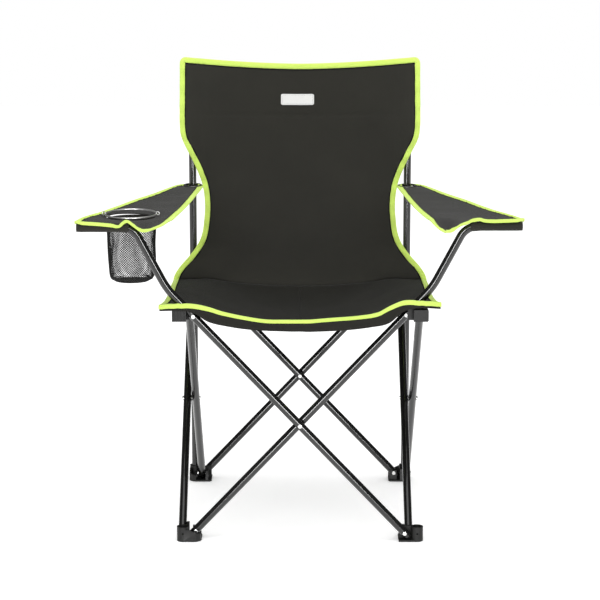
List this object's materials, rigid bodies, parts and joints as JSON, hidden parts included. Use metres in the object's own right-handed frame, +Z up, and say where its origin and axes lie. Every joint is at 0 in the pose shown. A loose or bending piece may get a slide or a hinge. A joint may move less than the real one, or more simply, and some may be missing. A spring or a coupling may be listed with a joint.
{
  "type": "folding camp chair",
  "caption": "Folding camp chair of crossed steel tubes with a sling seat and back, cloth armrests, a cup pocket and lime edge binding.",
  "frame": {"origin": "on the floor under the middle of the chair's overall box, midway between the four feet", "axes": "+Z up, -Y the way the sitter faces (the front), +X the sitter's left as they sit"},
  "size_m": [0.811, 0.4789, 0.863],
  "materials": {
    "tube": "gloss powder coat",
    "plastic": "satin",
    "rivet": "polished dome",
    "grommet": "satin",
    "cloth": "plain weave polyester, charcoal black",
    "mesh": "open black mesh",
    "ring": "satin light grey"
  },
  "bodies": {
    "rear_left_base": {"rear_left_foot": "plastic", "left_back_post": "tube", "left_post_cap": "plastic", "left_post_pin": "rivet", "back_panel": "cloth", "back_pocket_panel": "cloth", "rear_foot_rivet_outer": "rivet", "left_foot_rivet_inner": "rivet"},
    "left_tube_inner": {"left_tube_inner": "tube"},
    "left_tube_outer": {"left_tube_outer": "tube", "left_middle_rivet": "rivet", "left_middle_spacer": "plastic"},
    "front_left_foot": {"front_left_foot": "plastic", "left_foot_rivet_outer": "rivet", "front_foot_rivet_inner": "rivet"},
    "rear_left_hub": {"rear_left_hub": "plastic", "left_hub_rivet_outer": "rivet", "rear_hub_rivet_inner": "rivet"},
    "front_left_hub": {"front_left_hub": "plastic", "front_hub_rivet_outer": "rivet", "left_hub_rivet_inner": "rivet"},
    "left_seat": {"left_seat_panel": "cloth"},
    "front_tube_outer": {"front_tube_outer": "tube", "left_arm_cap": "plastic", "front_middle_rivet": "rivet", "front_middle_spacer": "plastic"},
    "front_tube_inner": {"front_tube_inner": "tube", "right_arm_cap": "plastic"},
    "front_right_hub": {"front_right_hub": "plastic", "front_hub_rivet_inner": "rivet", "right_hub_rivet_outer": "rivet"},
    "right_seat": {"right_seat_panel": "cloth"},
    "front_right_foot": {"front_right_foot": "plastic", "front_foot_rivet_outer": "rivet", "right_foot_rivet_inner": "rivet"},
    "left_armrest": {"left_armrest": "cloth", "cup_ring": "ring", "cup_pocket": "mesh"},
    "right_armrest": {"right_armrest": "cloth"},
    "left_grommet": {"left_arm_grommet": "grommet"},
    "right_grommet": {"right_arm_grommet": "grommet"},
    "rear_tube_outer": {"rear_tube_outer": "tube", "rear_middle_rivet": "rivet", "rear_middle_spacer": "plastic"},
    "rear_right_hub": {"rear_right_hub": "plastic", "rear_hub_rivet_outer": "rivet", "right_hub_rivet_inner": "rivet"},
    "rear_tube_inner": {"rear_tube_inner": "tube"},
    "rear_right_base": {"rear_right_foot": "plastic", "right_back_post": "tube", "right_post_cap": "plastic", "right_post_pin": "rivet", "right_foot_rivet_outer": "rivet", "rear_foot_rivet_inner": "rivet"},
    "right_tube_outer": {"right_tube_outer": "tube", "right_middle_rivet": "rivet", "right_middle_spacer": "plastic"},
    "right_tube_inner": {"right_tube_inner": "tube"}
  },
  "joints": [
    {"name": "fold", "type": "hinge", "parent": "rear_left_base", "child": "left_tube_inner", "pos_m": [-0.2012, 0.1925, 0.0155], "axis": [-1, 0, 0], "range_deg": [0, 33.5], "deforming": ["back_panel", "back_pocket_panel", "left_seat_panel", "right_seat_panel", "left_armrest", "right_armrest", "cup_ring", "cup_pocket"]},
    {"name": "left_scissor", "type": "hinge", "parent": "left_tube_inner", "child": "left_tube_outer", "pos_m": [-0.2095, 0, 0.21835], "axis": [1, 0, 0], "range_deg": [0, 67]},
    {"name": "front_left_foot_outer_rivet", "type": "hinge", "parent": "left_tube_outer", "child": "front_left_foot", "pos_m": [-0.2178, -0.1925, 0.0155], "axis": [-1, 0, 0], "range_deg": [0, 33.5]},
    {"name": "rear_left_hub_outer_rivet", "type": "hinge", "parent": "left_tube_outer", "child": "rear_left_hub", "pos_m": [-0.2178, 0.1925, 0.4212], "axis": [-1, 0, 0], "range_deg": [0, 33.5]},
    {"name": "front_left_hub_inner_rivet", "type": "hinge", "parent": "left_tube_inner", "child": "front_left_hub", "pos_m": [-0.2012, -0.1925, 0.4212], "axis": [1, 0, 0], "range_deg": [0, 33.5]},
    {"name": "left_seat_drop", "type": "hinge", "parent": "front_left_hub", "child": "left_seat", "pos_m": [-0.19, 0, 0.436], "axis": [0, 1, 0], "range_deg": [0, 75.05]},
    {"name": "front_left_hub_outer_rivet", "type": "hinge", "parent": "front_left_hub", "child": "front_tube_outer", "pos_m": [-0.1925, -0.2178, 0.4212], "axis": [0, 1, 0], "range_deg": [0, 33.5]},
    {"name": "front_scissor", "type": "hinge", "parent": "front_tube_outer", "child": "front_tube_inner", "pos_m": [0, -0.2095, 0.21835], "axis": [0, -1, 0], "range_deg": [0, 67]},
    {"name": "front_right_hub_inner_rivet", "type": "hinge", "parent": "front_tube_inner", "child": "front_right_hub", "pos_m": [0.1925, -0.2012, 0.4212], "axis": [0, 1, 0], "range_deg": [0, 33.5]},
    {"name": "right_seat_drop", "type": "hinge", "parent": "front_right_hub", "child": "right_seat", "pos_m": [0.19, 0, 0.436], "axis": [0, -1, 0], "range_deg": [0, 75.05]},
    {"name": "front_right_foot_outer_rivet", "type": "hinge", "parent": "front_tube_outer", "child": "front_right_foot", "pos_m": [0.1925, -0.2178, 0.0155], "axis": [0, -1, 0], "range_deg": [0, 33.5]},
    {"name": "left_armrest_swing", "type": "hinge", "parent": "front_tube_outer", "child": "left_armrest", "pos_m": [-0.3045, -0.2178, 0.5825], "axis": [-0.9976, 0, 0.0698], "range_deg": [0, 53.88]},
    {"name": "right_armrest_swing", "type": "hinge", "parent": "front_tube_inner", "child": "right_armrest", "pos_m": [0.3045, -0.2012, 0.5825], "axis": [-0.9976, 0, -0.0698], "range_deg": [0, 58]},
    {"name": "rear_left_foot_outer_rivet", "type": "hinge", "parent": "rear_left_base", "child": "rear_tube_outer", "pos_m": [-0.1925, 0.2178, 0.0155], "axis": [0, -1, 0], "range_deg": [0, 33.5]},
    {"name": "rear_right_hub_outer_rivet", "type": "hinge", "parent": "rear_tube_outer", "child": "rear_right_hub", "pos_m": [0.1925, 0.2178, 0.4212], "axis": [0, 1, 0], "range_deg": [0, 33.5]},
    {"name": "rear_scissor", "type": "hinge", "parent": "rear_tube_outer", "child": "rear_tube_inner", "pos_m": [0, 0.2095, 0.21835], "axis": [0, 1, 0], "range_deg": [0, 67]},
    {"name": "rear_right_foot_inner_rivet", "type": "hinge", "parent": "rear_tube_inner", "child": "rear_right_base", "pos_m": [0.1925, 0.2012, 0.0155], "axis": [0, -1, 0], "range_deg": [0, 33.5]},
    {"name": "rear_right_foot_outer_rivet", "type": "hinge", "parent": "rear_right_base", "child": "right_tube_outer", "pos_m": [0.2178, 0.1925, 0.0155], "axis": [-1, 0, 0], "range_deg": [0, 33.5]},
    {"name": "right_scissor", "type": "hinge", "parent": "right_tube_outer", "child": "right_tube_inner", "pos_m": [0.2095, 0, 0.21835], "axis": [1, 0, 0], "range_deg": [0, 67]},
    {"name": "left_grommet_slide", "type": "slide", "parent": "rear_left_base", "child": "left_grommet", "axis": [0, 0, 1], "range_m": [-0.0118, 0]},
    {"name": "right_grommet_slide", "type": "slide", "parent": "rear_right_base", "child": "right_grommet", "axis": [0, 0, 1], "range_m": [-0.0118, 0]}
  ],
  "couplings": [
    {"joint": "left_scissor", "follows": "fold", "ratio": 2},
    {"joint": "front_left_foot_outer_rivet", "follows": "fold", "ratio": 1},
    {"joint": "rear_left_hub_outer_rivet", "follows": "fold", "ratio": 1},
    {"joint": "front_left_hub_inner_rivet", "follows": "fold", "ratio": 1},
    {"joint": "left_seat_drop", "follows": "fold", "ratio": 2.24},
    {"joint": "front_left_hub_outer_rivet", "follows": "fold", "ratio": 1},
    {"joint": "front_scissor", "follows": "fold", "ratio": 2},
    {"joint": "front_right_hub_inner_rivet", "follows": "fold", "ratio": 1},
    {"joint": "right_seat_drop", "follows": "fold", "ratio": 2.24},
    {"joint": "front_right_foot_outer_rivet", "follows": "fold", "ratio": 1},
    {"joint": "left_armrest_swing", "follows": "fold", "ratio": 1.608},
    {"joint": "right_armrest_swing", "follows": "fold", "ratio": 1.731},
    {"joint": "rear_left_foot_outer_rivet", "follows": "fold", "ratio": 1},
    {"joint": "rear_right_hub_outer_rivet", "follows": "fold", "ratio": 1},
    {"joint": "rear_scissor", "follows": "fold", "ratio": 2},
    {"joint": "rear_right_foot_inner_rivet", "follows": "fold", "ratio": 1},
    {"joint": "rear_right_foot_outer_rivet", "follows": "fold", "ratio": 1},
    {"joint": "right_scissor", "follows": "fold", "ratio": 2},
    {"joint": "left_grommet_slide", "follows": "fold", "m_per_rad": -0.02},
    {"joint": "right_grommet_slide", "follows": "fold", "m_per_rad": -0.02}
  ]
}
